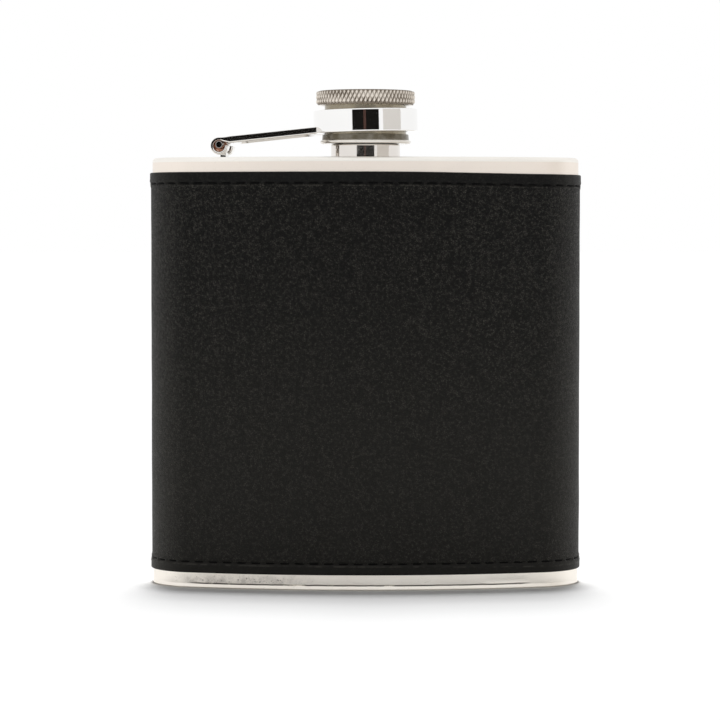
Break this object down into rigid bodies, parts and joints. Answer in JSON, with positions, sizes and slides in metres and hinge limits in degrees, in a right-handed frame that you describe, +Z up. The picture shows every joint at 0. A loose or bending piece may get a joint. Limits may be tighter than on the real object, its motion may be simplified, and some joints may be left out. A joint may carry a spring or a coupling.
{
  "type": "hip flask",
  "caption": "Curved pocket flask in a stitched black wrap, with a captive knurled screw cap on a hinged arm.",
  "frame": {"origin": "middle of the footprint, on the base", "axes": "+Z up, from the base to the cap; +X towards the end away from the hinge; -Y towards the convex front"},
  "size_m": [0.0942, 0.0294, 0.1074],
  "materials": {
    "satin_steel": "fine satin",
    "polished_steel": "polished",
    "mirror_plate": "mirror polished",
    "knurled_nickel": "diamond knurled",
    "dark_steel": "dull",
    "black_leather": "fine pebble grain",
    "black_thread": "twisted polyester",
    "white_seal": "smooth"
  },
  "bodies": {
    "flask": {"body_shell": "satin_steel", "shoulder_plate": "satin_steel", "base_plate": "satin_steel", "neck": "polished_steel", "leather_wrap": "black_leather", "top_stitching": "black_thread", "bottom_stitching": "black_thread", "back_stitching": "black_thread", "hinge_bracket": "polished_steel", "hinge_pin": "dark_steel"},
    "arm": {"arm_strap": "polished_steel", "cap_ring": "mirror_plate"},
    "seal": {"cap_seal": "white_seal"},
    "cap": {"cap_head": "knurled_nickel", "cap_bush": "polished_steel", "retaining_skirt": "polished_steel"}
  },
  "joints": [
    {"name": "arm_swing", "type": "hinge", "parent": "flask", "child": "arm", "pos_m": [-0.03114, 0.00146, 0.09585], "axis": [-0.1272, -0.9919, 0], "range_deg": [0, 175]},
    {"name": "cap_lift", "type": "slide", "parent": "arm", "child": "seal", "axis": [0, 0, 1], "range_m": [0, 0.0012]},
    {"name": "cap_turn", "type": "hinge", "parent": "seal", "child": "cap", "pos_m": [0, -0.00253, 0.0957], "axis": [0, 0, 1], "range_deg": [0, 360]}
  ],
  "couplings": [
    {"joint": "cap_turn", "follows": "cap_lift", "rad_per_m": 5236}
  ]
}
